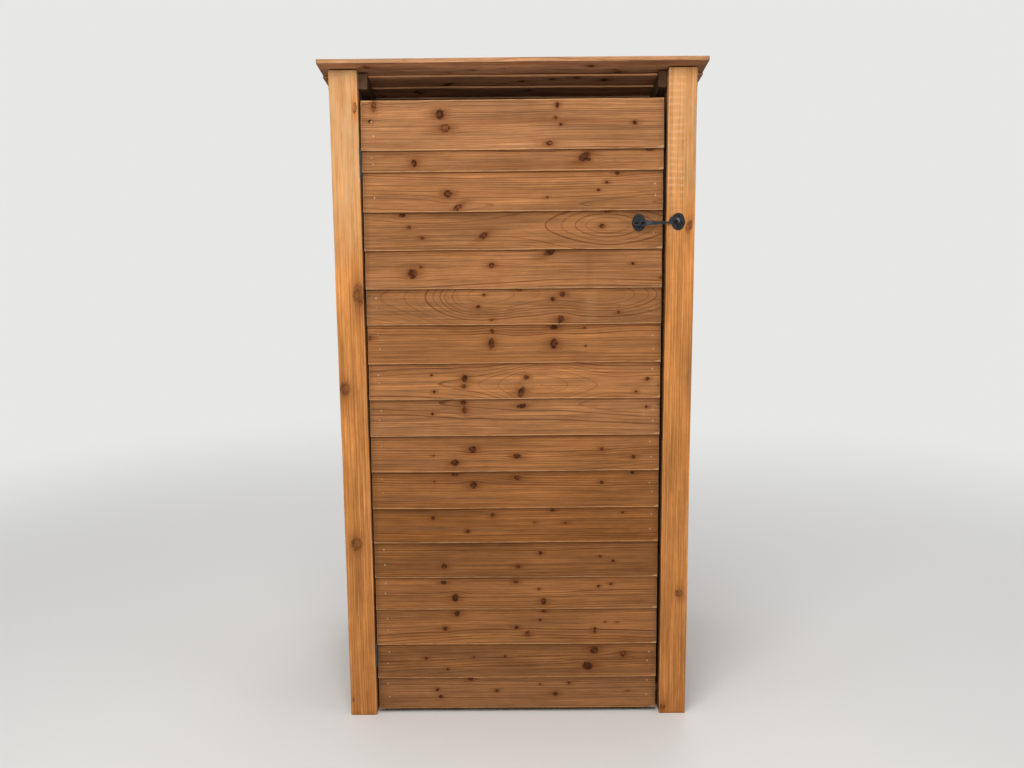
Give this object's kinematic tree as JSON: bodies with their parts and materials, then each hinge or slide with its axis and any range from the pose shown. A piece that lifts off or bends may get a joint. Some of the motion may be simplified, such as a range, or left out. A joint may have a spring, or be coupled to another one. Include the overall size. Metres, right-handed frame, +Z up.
{
  "type": "log store",
  "caption": "Tall narrow log store with slatted sides, a lean-to roof of lapped boards and a hinged boarded door held shut by a cabin hook.",
  "frame": {"origin": "on the ground, under the middle of the roof", "axes": "+Z up, the door faces -Y, the hinges are on the -X side and the hook on the +X side"},
  "size_m": [0.99, 0.8797, 1.7941],
  "materials": {
    "post_timber": "sawn softwood, warm brown preservative, saw marks and knots",
    "frame_timber": "sawn softwood, brown preservative",
    "slat_timber": "sawn softwood slats, brown preservative",
    "roof_boards": "feather-edge softwood boards, brown preservative",
    "door_boards": "feather-edge softwood boards, brown preservative, knots and nail heads",
    "door_frame_timber": "sawn softwood, brown preservative",
    "hinge_steel": "bright zinc-plated pressed steel",
    "black_iron": "black japanned cast iron"
  },
  "bodies": {
    "frame": {"front_post_left": "post_timber", "front_post_right": "post_timber", "front_upright_left": "frame_timber", "front_upright_right": "frame_timber", "rear_upright_left": "frame_timber", "rear_upright_right": "frame_timber", "rear_upright_middle": "frame_timber", "side_slats_left": "slat_timber", "side_slats_right": "slat_timber", "back_slats": "slat_timber", "rafter_left": "frame_timber", "rafter_right": "frame_timber", "roof_boards": "roof_boards", "floor_bearers": "frame_timber", "floor_slats": "slat_timber", "upper_hinge_frame_leaf": "hinge_steel", "upper_hinge_pin": "hinge_steel", "lower_hinge_frame_leaf": "hinge_steel", "lower_hinge_pin": "hinge_steel", "staple_rosette": "black_iron"},
    "door": {"door_boards": "door_boards", "door_stile_hinge_side": "door_frame_timber", "door_stile_hook_side": "door_frame_timber", "door_rail_top": "door_frame_timber", "door_rail_middle": "door_frame_timber", "door_rail_bottom": "door_frame_timber", "upper_hinge_door_leaf": "hinge_steel", "lower_hinge_door_leaf": "hinge_steel", "hook_rosette": "black_iron"},
    "hook": {"hook_arm": "black_iron"}
  },
  "joints": [
    {"name": "door_swing", "type": "hinge", "parent": "frame", "child": "door", "pos_m": [-0.39675, -0.395, 0.9], "axis": [0, 0, -1], "range_deg": [0, 110]},
    {"name": "hook_lift", "type": "hinge", "parent": "door", "child": "hook", "pos_m": [0.3275, -0.403, 1.378], "axis": [0, -1, 0], "range_deg": [0, 100]}
  ]
}
